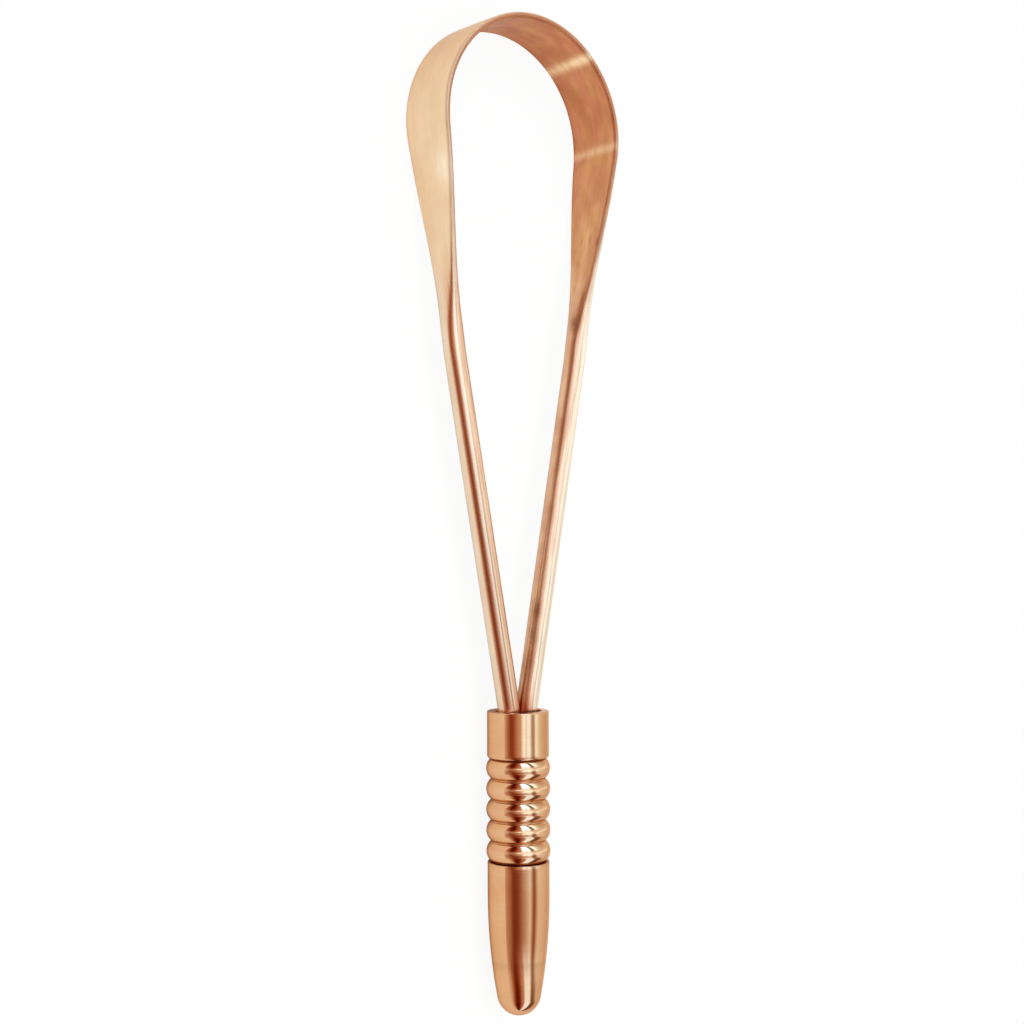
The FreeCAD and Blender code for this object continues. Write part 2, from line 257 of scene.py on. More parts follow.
class CopperFinish(bpy.types.PropertyGroup):
    """Colours of the copper, its patina and the filler metal."""
    outer_face: bpy.props.FloatVectorProperty(
        name="Outer face", description="Satin outer face of the band",
        default=(0.88, 0.67, 0.425), subtype="COLOR", min=0, max=1)
    outer_warm: bpy.props.FloatVectorProperty(
        name="Outer face, warm", description="Outer face at the top of the loop and down the taper",
        default=(0.835, 0.55, 0.30), subtype="COLOR", min=0, max=1)
    inner_face: bpy.props.FloatVectorProperty(
        name="Inner face", description="Inner face of the band down the straight stretches",
        default=(0.82, 0.475, 0.24), subtype="COLOR", min=0, max=1)
    # Patina with painted shade: the inner face is redder and darker at the top of the loop
    inner_red_and_shade: bpy.props.FloatVectorProperty(
        name="Inner face, red", description="Redder inner face at the top of the loop",
        default=(0.71, 0.30, 0.15), subtype="COLOR", min=0, max=1)
    # Burnished colour of rubbed places, also used for the painted highlight on the right leg
    burnish_and_highlight: bpy.props.FloatVectorProperty(
        name="Burnish", description="Places rubbed bright on the outer face and the handle",
        default=(0.97, 0.83, 0.62), subtype="COLOR", min=0, max=1)
    inner_golden: bpy.props.FloatVectorProperty(
        name="Inner face, golden", description="Golden patches of the patina on the inner face",
        default=(0.76, 0.41, 0.155), subtype="COLOR", min=0, max=1)
    # Painted highlight of the bright cross bands on the inner face
    inner_highlight: bpy.props.FloatVectorProperty(
        name="Inner burnish", description="Cross bands rubbed bright on the inner face",
        default=(1.0, 0.75, 0.44), subtype="COLOR", min=0, max=1)
    leg: bpy.props.FloatVectorProperty(
        name="Legs", description="Round polished legs",
        default=(0.80, 0.52, 0.325), subtype="COLOR", min=0, max=1)
    # Painted sheen: the lower outer side of the legs is paler
    leg_pale_sheen: bpy.props.FloatVectorProperty(
        name="Legs, pale", description="Paler outer side of the legs, like the band's outer face",
        default=(0.83, 0.67, 0.49), subtype="COLOR", min=0, max=1)
    # Heat tint with painted shade, strongest between the legs by the joint
    leg_heated_and_shaded: bpy.props.FloatVectorProperty(
        name="Legs, heated", description="Redder legs next to the brazed joint",
        default=(0.66, 0.19, 0.085), subtype="COLOR", min=0, max=1)
    handle: bpy.props.FloatVectorProperty(
        name="Handle", description="Turned and polished handle",
        default=(0.745, 0.43, 0.222), subtype="COLOR", min=0, max=1)
    # Tarnished spots, with painted shade in the seams and grooves and darker inside the bore
    tarnish_and_shade: bpy.props.FloatVectorProperty(
        name="Tarnish", description="Brown tarnish in seams, grooves and spots",
        default=(0.15, 0.035, 0.012), subtype="COLOR", min=0, max=1)
    braze: bpy.props.FloatVectorProperty(
        name="Braze", description="Filler metal in the handle's mouth",
        default=(0.52, 0.21, 0.095), subtype="COLOR", min=0, max=1)
    loop_deep: bpy.props.FloatVectorProperty(
        name="Loop, deep", description="Deep tone of the loop's lines and patches",
        default=(0.42, 0.13, 0.05), subtype="COLOR", min=0, max=1)
    handle_deep: bpy.props.FloatVectorProperty(
        name="Handle, deep", description="Deep tone of the handle's turning lines and patches",
        default=(0.55, 0.22, 0.085), subtype="COLOR", min=0, max=1)
    braze_deep: bpy.props.FloatVectorProperty(
        name="Braze, deep", description="Deep tone of the filler's uneven skin",
        default=(0.12, 0.04, 0.018), subtype="COLOR", min=0, max=1)
    loop_slant: bpy.props.FloatVectorProperty(
        name="Loop at a slant", description="Tint of what the loop mirrors at a slant",
        default=(1.0, 0.95, 0.90), subtype="COLOR", min=0, max=1)
    handle_slant: bpy.props.FloatVectorProperty(
        name="Handle at a slant", description="Tint of what the handle mirrors at a slant",
        default=(0.78, 0.60, 0.50), subtype="COLOR", min=0, max=1)


class StudioStage(bpy.types.PropertyGroup):
    """Floor, light and camera."""
    floor: bpy.props.FloatVectorProperty(
        name="Floor", description="Colour of the floor", default=(0.96, 0.96, 0.96),
        subtype="COLOR", min=0, max=1)
    floor_glow: bpy.props.FloatProperty(
        name="Floor glow", description="Share of plain white in the floor that the camera sees",
        default=0.91, subtype="FACTOR", min=0, max=1)
    floor_shine: bpy.props.FloatProperty(
        name="Floor shine", description="Share of plain white in the floor that shows in metal and glass",
        default=0.12, subtype="FACTOR", min=0, max=1)
    fill: bpy.props.FloatProperty(
        name="Fill", description="Level of the light from all round on matt surfaces", default=0.55)
    lamp: bpy.props.FloatProperty(
        name="Lamp", description="Brightness of the overhead softbox", default=1.75)
    turn: bpy.props.FloatProperty(
        name="Camera turn", description="Camera's angle from overhead, round the handle's axis",
        default=0.6938, subtype="ANGLE")
    pitch: bpy.props.FloatProperty(
        name="Camera pitch", description="Camera's angle towards the loop",
        default=-0.0087, subtype="ANGLE")
    roll: bpy.props.FloatProperty(
        name="Camera roll", description="Camera's angle about its own line of sight",
        default=0.0043, subtype="ANGLE")
    distance: bpy.props.FloatProperty(
        name="Camera distance", description="From the camera to its target",
        default=0.297, unit="LENGTH")
    target: bpy.props.FloatProperty(
        name="Camera target", description="Place along the object at the picture's middle",
        default=0.00083, unit="LENGTH")
    lens: bpy.props.FloatProperty(
        name="Lens", description="Focal length in millimetres on a sensor 36 mm wide", default=57.62)
    shift: bpy.props.FloatProperty(
        name="Camera shift", description="Sideways shift as a share of the picture's width", default=-0.0049)


def straights_and_bends(start, runs, distance):
    """Points and headings along a line made of straights and arcs.

    Each run is (length, bend), where bend is one over the arc's radius, or zero on a straight. A heading is
    an angle from +Y towards +X. It grows by the bend times the distance gone. The place is the integral of
    (sine, cosine) of the heading, which on an arc is (old cosine less new, new sine less old) over the
    bend.
    """
    spots = np.zeros((distance.size, 2))
    headings = np.zeros(distance.size)
    here = np.array(start, float)
    heading = 0.0
    passed = 0.0
    for length, bend in runs:
        gone = distance - passed
        new = heading + bend * gone
        if bend:
            steps = np.stack([np.cos(heading) - np.cos(new), np.sin(new) - np.sin(heading)], 1) / bend
        else:
            steps = gone[:, None] * np.array([math.sin(heading), math.cos(heading)])
        on_run = gone >= 0
        spots[on_run] = (here + steps)[on_run]
        headings[on_run] = new[on_run]
        end = heading + bend * length
        if bend:
            step = np.array([math.cos(heading) - math.cos(end), math.sin(end) - math.sin(heading)]) / bend
        else:
            step = length * np.array([math.sin(heading), math.cos(heading)])
        here = here + step
        heading = end
        passed += length
    return spots, headings


def leg_runs(sizes):
    """Straights and bends of the right half of the loop, from the leg's foot to the top of the arch.

    Corners come first: the arch's end is its centre plus its radius at the band's lean, the shoulder lies
    the band's leg length below that, and the neck stands above the rim. Each rounded corner takes radius
    times the tangent of half its turn off the straights beside it.
    """
    lean = sizes.band_leg_lean
    radius = sizes.arch_radius
    leg_x = (sizes.rod_diameter + sizes.leg_gap) / 2
    centre_y = CAD_HIGH.y - sizes.band_thickness / 2 - radius
    arch_end = np.array([radius * math.cos(lean), centre_y - radius * math.sin(lean)])
    shoulder = arch_end - sizes.band_leg_length * np.array([math.sin(lean), math.cos(lean)])
    neck = np.array([leg_x, COLLAR_HIGH.y + sizes.leg_straight])
    leg_lean = math.atan2(*(shoulder - neck))
    turn = leg_lean - lean
    neck_setback = sizes.neck_radius * math.tan(leg_lean / 2)
    shoulder_setback = sizes.shoulder_radius * math.tan(turn / 2)
    foot = np.array([leg_x, LOOP_LOW.y])
    runs = [
        (neck[1] - neck_setback - foot[1], 0.0),
        (sizes.neck_radius * leg_lean, 1 / sizes.neck_radius),
        (math.dist(neck, shoulder) - neck_setback - shoulder_setback, 0.0),
        (sizes.shoulder_radius * turn, -1 / sizes.shoulder_radius),
        (sizes.band_leg_length - shoulder_setback, 0.0),
        (radius * (math.pi / 2 + lean), -1 / radius),
    ]
    return foot, runs


def flattened_section(sizes, ease):
    """Outline of the rod at each station, as (across, out) places round it.

    Ease runs from 0 on the round rod to 1 on the full band. Half the width runs evenly with it, and half
    the thickness keeps the area running evenly too. The outline is four tangent arcs: two edges of radius
    thickness times (1 less crown times (1 less thickness over width)), and two faces through their ends and
    the crest. The edges are then eased flat at half the band's width, as grinding leaves them.
    """
    rod = sizes.rod_diameter / 2
    band = sizes.band_width / 2 + sizes.edge_grind
    width = rod + (band - rod) * ease
    thick = (rod ** 2 + (band * sizes.band_thickness / 2 - rod ** 2) * ease) / width
    crown = ROUND_CROWN + (sizes.band_crown - ROUND_CROWN) * ease
    ratio = thick / width
    edge = thick * (1 - crown * (1 - ratio))
    turn = math.pi / 2 - 2 * np.arctan(crown * ratio / (1 + crown * ratio))
    joint_across = width - edge + edge * np.cos(turn)
    joint_out = edge * np.sin(turn)
    drop = thick - joint_out
    face = (joint_across ** 2 + drop ** 2) / (2 * drop)
    half_angle = np.arcsin(joint_across / face)
    edge_share = np.linspace(-1, 1, EDGE_POINTS, endpoint=False)
    face_share = np.linspace(1, -1, FACE_POINTS, endpoint=False)
    edge_angle = turn[:, None] * edge_share
    face_angle = half_angle[:, None] * face_share
    edge_across = (width - edge)[:, None] + edge[:, None] * np.cos(edge_angle)
    edge_out = edge[:, None] * np.sin(edge_angle)
    face_across = face[:, None] * np.sin(face_angle)
    face_out = (thick - face)[:, None] + face[:, None] * np.cos(face_angle)
    across = np.concatenate([edge_across, face_across, -edge_across, -face_across], 1)
    out = np.concatenate([edge_out, face_out, -edge_out, -face_out], 1)
    limit = sizes.band_width / 2
    spare = (limit - np.abs(across)) / GRIND_SOFTNESS
    eased = limit - GRIND_SOFTNESS * np.logaddexp(0, spare)
    across = np.sign(across) * np.maximum(eased, 0)
    return across, out, thick


def grid_quads(rows, columns, close_rows, close_columns):
    """Corner numbers of the faces of a grid, which may join up along its rows or its columns."""
    row = np.arange(rows if close_rows else rows - 1)
    column = np.arange(columns if close_columns else columns - 1)
    row, column = np.meshgrid(row, column, indexing="ij")
    next_row = (row + 1) % rows
    next_column = (column + 1) % columns
    corners = [row * columns + column, row * columns + next_column,
               next_row * columns + next_column, next_row * columns + column]
    return np.stack([corner.ravel() for corner in corners], 1)


def fan(ring, pole):
    """Triangles between a closed ring of corner numbers and one pole."""
    return np.stack([ring, np.roll(ring, -1), np.full(ring.size, pole)], 1)


def face_outwards(points, quads, triangles):
    """The same faces, turned round if the volume that they enclose comes out negative."""
    parts = np.concatenate([quads[:, [0, 1, 2]], quads[:, [0, 2, 3]], triangles])
    a, b, c = points[parts[:, 0]], points[parts[:, 1]], points[parts[:, 2]]
    if np.sum(a * np.cross(b, c)) < 0:
        return quads[:, ::-1], triangles[:, ::-1]
    return quads, triangles


def put_piece(name, points, quads, triangles, traits, node, material):
    """New object for a CAD node: the mesh, one attribute for each trait, the material and its place."""
    old = bpy.data.objects.get(name)
    if old is not None:
        bpy.data.objects.remove(old)
    quads, triangles = face_outwards(points, quads, triangles)
    mesh = bpy.data.meshes.new(name)
    mesh.vertices.add(len(points))
    mesh.vertices.foreach_set("co", points.astype(np.float32).ravel())
    corners = np.concatenate([quads.ravel(), triangles.ravel()]).astype(np.int32)
    counts = np.concatenate([np.full(len(quads), 4), np.full(len(triangles), 3)])
    starts = np.concatenate([[0], np.cumsum(counts)[:-1]]).astype(np.int32)
    mesh.loops.add(corners.size)
    mesh.loops.foreach_set("vertex_index", corners)
    mesh.polygons.add(counts.size)
    mesh.polygons.foreach_set("loop_start", starts)
    mesh.polygons.foreach_set("use_smooth", np.ones(counts.size, bool))
    mesh.update(calc_edges=True)
    if mesh.validate():
        raise RuntimeError(f"the mesh of {name} has faulty faces")
    for trait, values in traits.items():
        attribute = mesh.attributes.new(trait, "FLOAT", "POINT")
        attribute.data.foreach_set("value", values.astype(np.float32).ravel())
    mesh.materials.append(material)
    piece = bpy.data.objects.new(name, mesh)
    bpy.context.scene.collection.objects.link(piece)
    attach(piece, "root")
    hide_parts(node)


def bump_at(place, centre, spread):
    """Bell shape: e to the power of minus the square of (place less centre) over spread."""
    return np.exp(-((place - centre) / spread) ** 2)


def smooth_step(place, start, end):
    """Smooth step from 0 at the start to 1 at the end: 3 t squared less 2 t cubed."""
    t = np.clip((place - start) / (end - start), 0, 1)
    return t ** 2 * (3 - 2 * t)


def both_halves(values):
    """Values from the right foot to the top, and the same again from there to the left foot."""
    return np.concatenate([values, values[-2::-1]])


def spot_at(along, across, spot):
    """Mark given as place, height, length, width and depth: a bell along the rod times one across it."""
    place, height, length, width, depth = spot
    return depth * bump_at(along, place, length) * bump_at(across, height, width)


def loop_surface(sizes):
    """Points, faces and traits of the whole flattened rod.

    Stations run from the right foot over the top to the left foot. At each, the outline of
    flattened_section lies square to the middle line: a point is the line's place plus the outline's out
    along the outward normal (cosine, minus sine of the heading) and its across along Z. The left half is
    the mirror image. The traits are the distance from the top, the height on the band, outer from 0 on the
    inner face to 1 on the outer one, flatness from 0 on the legs to 1 on the band, and edge, the height as
    a share of half the width.
    """
    foot, runs = leg_runs(sizes)
    half = sum(length for length, bend in runs)
    distance = np.linspace(0, half, LEG_STATIONS)
    spots, headings = straights_and_bends(foot, runs, distance)
    taper_start = sum(length for length, bend in runs[:4])
    taper = runs[4][0] + sizes.arch_radius * (sizes.band_leg_lean + sizes.full_width_angle)
    ease = smooth_step(distance, taper_start, taper_start + taper)
    across, out, thick = flattened_section(sizes, ease)
    outward = np.stack([np.cos(headings), -np.sin(headings)], 1)
    right = spots[:, None, :] + out[:, :, None] * outward[:, None, :]
    left = right * np.array([-1, 1])
    places = np.concatenate([right, left[-2::-1]])
    height = both_halves(across) + AXIS_HEIGHT
    points = np.concatenate([places, height[:, :, None]], 2)
    rows, columns = height.shape
    along = np.concatenate([half - distance, (distance - half)[-2::-1]])[:, None] + 0 * height
    outer = both_halves(np.clip(0.5 + OUTER_STEEPNESS * out / thick[:, None], 0, 1))
    flatness = both_halves(ease)[:, None] + 0 * height
    edge = both_halves(np.abs(across) / np.abs(across).max(1, keepdims=True))
    grid = points.reshape(-1, 3)
    poles = np.array([points[0].mean(0), points[-1].mean(0)])
    count = len(grid)
    first_ring = np.arange(columns)
    last_ring = first_ring + (rows - 1) * columns
    triangles = np.concatenate([fan(first_ring[::-1], count), fan(last_ring, count + 1)])
    quads = grid_quads(rows, columns, False, True)
    traits = {
        "along": np.append(along.ravel(), along[[0, -1], 0]),
        "across": np.append((height - AXIS_HEIGHT).ravel(), [0, 0]),
        "outer": np.append(outer.ravel(), [0.5, 0.5]),
        "flatness": np.append(flatness.ravel(), [0, 0]),
        "edge": np.append(edge.ravel(), [0, 0]),
    }
    traits.update(loop_marks(traits, half))
    return np.concatenate([grid, poles]), quads, triangles, traits


def loop_marks(traits, half):
    """Masks of the loop from 0 to 1: rubbed places and painted highlight, stains, heat tint with painted
    shade, and warmth with painted shade.

    The bright cross bands are painted highlight: bells along the rod on the inner face, a little aslant, and
    the first is stronger towards the upper edge. The rubbed patch is on the outer face, and the tarnished
    spots are on the inner face and the right leg. Heat tint is half a bell over the distance from the rim,
    most of it between the legs, where it is painted shade as well. Warmth is a smooth step over the distance
    from the top of the loop. Inside it is partly painted shade at the top of the arch and fades down the
    straight stretches, and outside it comes back on the taper.
    """
    along = traits["along"] / MM
    across = traits["across"] / MM
    outer = traits["outer"]
    inner = 1 - outer
    away = np.abs(along)
    upwards = np.clip(across / 4, -1, 1)
    # Painted highlight: the bright cross bands on the inner face
    bands = 0 * along
    for place, spread, slant, strength, rise in HIGHLIGHT_BANDS:
        bands = bands + bump_at(along + slant * across, place, spread) * (strength + rise * upwards)
    burnish_and_highlight = bands * inner + spot_at(along, across, RUBBED_PATCH) * outer
    spots = sum(spot_at(along, across, spot) for spot in INNER_SPOTS) * inner
    # Heat tint with painted shade: half a bell from the rim, strongest where the legs face each other
    over_rim = (half - COLLAR_HIGH.y + LOOP_LOW.y) / MM - away
    between = HEAT_AND_SHADE_OUTSIDE + (1 - HEAT_AND_SHADE_OUTSIDE) * inner
    heat_and_shade = HEAT_AND_SHADE_SHARE * bump_at(np.maximum(over_rim, 0), 0, HEAT_AND_SHADE_REACH) * between
    top_or_taper = np.maximum(smooth_step(away, *OUTER_WARMTH_TOP), smooth_step(away, *OUTER_WARMTH_TAPER))
    warmth_and_shade = inner * smooth_step(away, *INNER_WARMTH_AND_SHADE) + outer * top_or_taper
    marks = spots + HEAT_AND_SHADE_DARKENING * heat_and_shade
    return {"burnish_and_highlight": np.clip(burnish_and_highlight, 0, 1), "marks": np.clip(marks, 0, 1), "heat_tint_and_shade": heat_and_shade,
            "warmth_and_shade": np.clip(warmth_and_shade, 0, 1)}


def rounded_profile(corners, rounds, steps):
    """Closed profile through corners given as (radius, y), each rounded by a quarter-turn curve.

    A rounding starts and ends its size away from the corner, and follows the parabola of those three
    points: (1 less t) squared of the start, twice t times (1 less t) of the corner and t squared of the
    end.
    """
    corners = np.array(corners, float)
    before = np.roll(corners, 1, 0) - corners
    after = np.roll(corners, -1, 0) - corners
    size = np.array(rounds, float)[:, None]
    start = corners + size * before / np.linalg.norm(before, axis=1, keepdims=True)
    end = corners + size * after / np.linalg.norm(after, axis=1, keepdims=True)
    t = np.linspace(0, 1, steps)[None, :, None]
    curve = (1 - t) ** 2 * start[:, None] + 2 * t * (1 - t) * corners[:, None] + t ** 2 * end[:, None]
    return curve.reshape(-1, 2)


def divided(profile, step, closed):
    """The profile with points added on its long straights, at most a step apart."""
    ends = np.roll(profile, -1, 0) if closed else profile[1:]
    starts = profile if closed else profile[:-1]
    counts = np.maximum(np.ceil(np.linalg.norm(ends - starts, axis=1) / step), 1).astype(int)
    index = np.repeat(np.arange(len(starts)), counts)
    part = np.arange(counts.sum()) - np.repeat(np.cumsum(counts) - counts, counts)
    t = (part / counts[index])[:, None]
    spread = starts[index] * (1 - t) + ends[index] * t
    return spread if closed else np.concatenate([spread, profile[-1:]])


def turned_surface(profile, segments, closed):
    """Surface of revolution about the handle's axis.

    A profile point (radius, y) goes round to (radius times sine, y, radius times cosine) of the turn. A
    closed profile makes a ring. An open one starts and ends on the axis, and each end is one pole.
    """
    turn = np.linspace(0, 2 * math.pi, segments, endpoint=False)
    body = profile if closed else profile[1:-1]
    radius = body[:, 0][:, None]
    points = np.stack([radius * np.sin(turn), np.repeat(body[:, 1][:, None], segments, 1),
                       radius * np.cos(turn) + AXIS_HEIGHT], 2).reshape(-1, 3)
    quads = grid_quads(len(body), segments, closed, True)
    triangles = np.zeros((0, 3), int)
    if not closed:
        poles = np.array([[0, profile[0, 1], AXIS_HEIGHT], [0, profile[-1, 1], AXIS_HEIGHT]])
        ring = np.arange(segments)
        last = ring + (len(body) - 1) * segments
        triangles = np.concatenate([fan(ring[::-1], len(points)), fan(last, len(points) + 1)])
        points = np.concatenate([points, poles])
    return points, quads, triangles


def around(values, segments, closed):
    """One value for each profile point, repeated round the surface of revolution."""
    if closed:
        return np.repeat(values, segments)
    return np.append(np.repeat(values[1:-1], segments), values[[0, -1]])


def collar_profile(sizes):
    """Plain sleeve: bore, foot with a rounded outer corner, straight side and a rounded rim."""
    low, high = COLLAR_LOW.y, COLLAR_HIGH.y
    corners = [(sizes.bore_radius, low), (sizes.collar_radius, low),
               (sizes.collar_radius, high), (sizes.bore_radius, high)]
    rounds = [BORE_EDGE, sizes.collar_corner, sizes.rim_round, sizes.rim_round]
    return divided(rounded_profile(corners, rounds, ROUND_POINTS), step=0.0005, closed=True)


def grip_profile(sizes):
    """Row of beads: between two grooves the side is an arc whose sagitta is the bead's rise.

    The arc's radius is (half the pitch squared plus the rise squared) over twice the rise. Its height over
    the chord at a distance d from the crest is the square root of radius squared less d squared, less the
    part of the radius that lies under the chord.
    """
    low, high = GRIP_LOW.y, GRIP_HIGH.y
    half_pitch = (high - low) / sizes.bead_count / 2
    rise = sizes.bead_rise
    arc = (half_pitch ** 2 + rise ** 2) / (2 * rise)
    share = np.linspace(-1, 1, BEAD_POINTS + 1)[:-1]
    offset = share * half_pitch
    height = np.sqrt(arc ** 2 - offset ** 2) - (arc - rise)
    crest = low + half_pitch * (2 * np.arange(sizes.bead_count) + 1)
    y = np.append((crest[:, None] + offset).ravel(), high)
    root = sizes.bead_radius - rise
    radius = np.append(np.tile(root + height, sizes.bead_count), root)
    side = np.stack([radius, y], 1)
    bore = np.array([[sizes.bore_radius, high], [sizes.bore_radius, low]])
    return divided(np.concatenate([side, bore]), step=0.001, closed=True)


def cap_profile(sizes):
    """Ball nose, long ogive, cylinder, rounded shoulder and spigot, from the tip to the spigot's end.

    The ogive is the arc tangent to the cylinder and to the ball. Its radius is (length squared plus cap
    radius squared less twice nose radius times length) over twice (cap radius less nose radius), and it
    meets the ball where the sine of the slope is (length less nose) over (ogive less nose).
    """
    tip = CAP_LOW.y
    shoulder = GRIP_LOW.y
    nose = sizes.nose_radius
    cap = sizes.cap_radius
    length = shoulder - sizes.cap_land - tip
    ogive = (length ** 2 + cap ** 2 - 2 * nose * length) / (cap - nose) / 2
    slope = math.asin((length - nose) / (ogive - nose))
    ball = np.linspace(math.pi / 2, slope, BALL_POINTS)
    ball_side = np.stack([nose * np.cos(ball), tip + nose * (1 - np.sin(ball))], 1)
    long_arc = np.linspace(slope, 0, OGIVE_POINTS)[1:]
    ogive_radius = cap - ogive * (1 - np.cos(long_arc))
    ogive_side = np.stack([ogive_radius, tip + length - ogive * np.sin(long_arc)], 1)
    edge = sizes.rim_round
    t = np.linspace(0, 1, ROUND_POINTS)
    shoulder_side = np.stack([cap - edge * t ** 2, shoulder - edge * (1 - t) ** 2], 1)
    end = CAP_HIGH.y
    spigot = np.array([[sizes.spigot_radius, shoulder], [sizes.spigot_radius, end - edge],
                       [sizes.spigot_radius - edge, end], [0, end]])
    ball_side[0, 0] = 0
    whole = np.concatenate([ball_side, ogive_side, shoulder_side, spigot])
    return divided(whole, step=0.0008, closed=False)


def braze_surface(sizes, loop):
    """Filler round the pair of legs, with a hollow top where it drew up the metal as it set.

    At each angle the filler reaches from the far side of the leg to the bore. The far side is the leg's
    offset times the cosine plus the root of (leg radius squared less offset times the sine, squared); past
    the angle where a ray misses the leg it is the ray's touching distance. The top sinks between the two by
    a parabola.
    """
    offset = (loop.rod_diameter + loop.leg_gap) / 2
    rod = loop.rod_diameter / 2
    turn = np.linspace(0, 2 * math.pi, BRAZE_SEGMENTS, endpoint=False)
    side = np.abs(np.sin(turn)) * offset
    inner = np.abs(np.cos(turn)) * offset + np.sqrt(np.maximum(rod ** 2 - side ** 2, 0))
    inner = np.maximum(inner, math.sqrt(offset ** 2 - rod ** 2))
    outwards = np.linspace(0, 1, BRAZE_TOP_POINTS)
    inwards = np.linspace(1, 0, BRAZE_FOOT_POINTS)
    share = np.concatenate([outwards, inwards])[:, None]
    width = sizes.bore_radius - inner
    radius = inner + width * share
    top = BRAZE_HIGH.y - 4 * share * (1 - share) * np.minimum(width, HOLLOW_WIDTH) * HOLLOW_DEPTH
    y = np.where(np.arange(len(share))[:, None] < BRAZE_TOP_POINTS, top, BRAZE_LOW.y)
    points = np.stack([radius * np.cos(turn), y, radius * np.sin(turn) + AXIS_HEIGHT], 2)
    quads = grid_quads(len(share), BRAZE_SEGMENTS, True, True)
    # Darker deeper in the hollow
    depth = np.clip((BRAZE_HIGH.y - y) / HOLLOW_DARKENING_DEPTH, 0, 1)
    return points.reshape(-1, 3), quads, np.zeros((0, 3), int), {"marks": depth}


def node(tree, kind, **settings):
    """New shader node with the given settings."""
    made = tree.nodes.new(kind)
    for name, value in settings.items():
        setattr(made, name, value)
    return made


def wire(tree, source, made, socket):
    """Link a socket, or set a plain value, into a node's input."""
    if isinstance(source, bpy.types.NodeSocket):
        tree.links.new(source, made.inputs[socket])
    else:
        made.inputs[socket].default_value = source


def maths(tree, operation, first, second=0.0, clamp=False):
    """Output of a Math node."""
    made = node(tree, "ShaderNodeMath", operation=operation, use_clamp=clamp)
    wire(tree, first, made, 0)
    wire(tree, second, made, 1)
    return made.outputs[0]


def ranged(tree, value, low, high, to_low, to_high):
    """Output of a smooth Map Range node."""
    made = node(tree, "ShaderNodeMapRange", interpolation_type="SMOOTHSTEP")
    settings = {"Value": value, "From Min": low, "From Max": high, "To Min": to_low, "To Max": to_high}
    for socket, setting in settings.items():
        wire(tree, setting, made, socket)
    return made.outputs["Result"]


def blended(tree, share, first, second, mode="MIX"):
    """Colour output of a Mix node."""
    made = node(tree, "ShaderNodeMix", data_type="RGBA", blend_type=mode)
    wire(tree, share, made, 0)
    wire(tree, first, made, 6)
    wire(tree, second, made, 7)
    return made.outputs[2]


def noise(tree, vector, scale, detail, rough=0.5):
    """Value output of a Noise Texture."""
    made = node(tree, "ShaderNodeTexNoise")
    made.inputs["Scale"].default_value = scale
    made.inputs["Detail"].default_value = detail
    made.inputs["Roughness"].default_value = rough
    wire(tree, vector, made, "Vector")
    return made.outputs["Fac"]


def vector_of(tree, x, y, z):
    """Vector output of a Combine XYZ node."""
    made = node(tree, "ShaderNodeCombineXYZ")
    for socket, part in enumerate((x, y, z)):
        wire(tree, part, made, socket)
    return made.outputs[0]


def trait(tree, name):
    """Value of one of the piece's own attributes."""
    return node(tree, "ShaderNodeAttribute", attribute_name=name).outputs["Fac"]


def new_group(name, inputs, outputs):
    """Empty shader node group with named sockets."""
    group = bpy.data.node_groups.new(name, "ShaderNodeTree")
    for label, kind in inputs:
        group.interface.new_socket(label, in_out="INPUT", socket_type=kind)
    for label, kind in outputs:
        group.interface.new_socket(label, in_out="OUTPUT", socket_type=kind)
    start = group.nodes.new("NodeGroupInput")
    end = group.nodes.new("NodeGroupOutput")
    return group, start, end


def brushed_grain():
    """Group for the fine lines of a brushed or turned surface and the soft patches of its patina.

    Lines are noise on a vector that is short along the grain and long across it. Patches are the same noise
    with both nearly alike. Places are in metres, and the two pitches say how long and how fine a line is.
    """
    name = "Brushed grain"
    if name in bpy.data.node_groups:
        return bpy.data.node_groups[name]
    number = "NodeSocketFloat"
    group, start, end = new_group(
        name,
        [("Along", number), ("Across", number), ("Side", number), ("Line Length", number),
         ("Line Width", number), ("Patch Size", number)],
        [("Lines", number), ("Patches", number)])
    along, across, side = start.outputs["Along"], start.outputs["Across"], start.outputs["Side"]
    long_way = maths(group, "DIVIDE", along, start.outputs["Line Length"])
    fine_way = maths(group, "DIVIDE", across, start.outputs["Line Width"])
    lines = noise(group, vector_of(group, long_way, fine_way, side), 1.0, 3.0, 0.6)
    patch_long = maths(group, "DIVIDE", along, start.outputs["Patch Size"])
    patch_wide = maths(group, "DIVIDE", across, start.outputs["Patch Size"])
    stretched = maths(group, "MULTIPLY", patch_wide, 1.8)
    patches = noise(group, vector_of(group, patch_long, stretched, side), 1.0, 2.0)
    wire(group, ranged(group, lines, 0.3, 0.7, 0.0, 1.0), end, "Lines")
    wire(group, ranged(group, patches, 0.32, 0.68, 0.0, 1.0), end, "Patches")
    return group


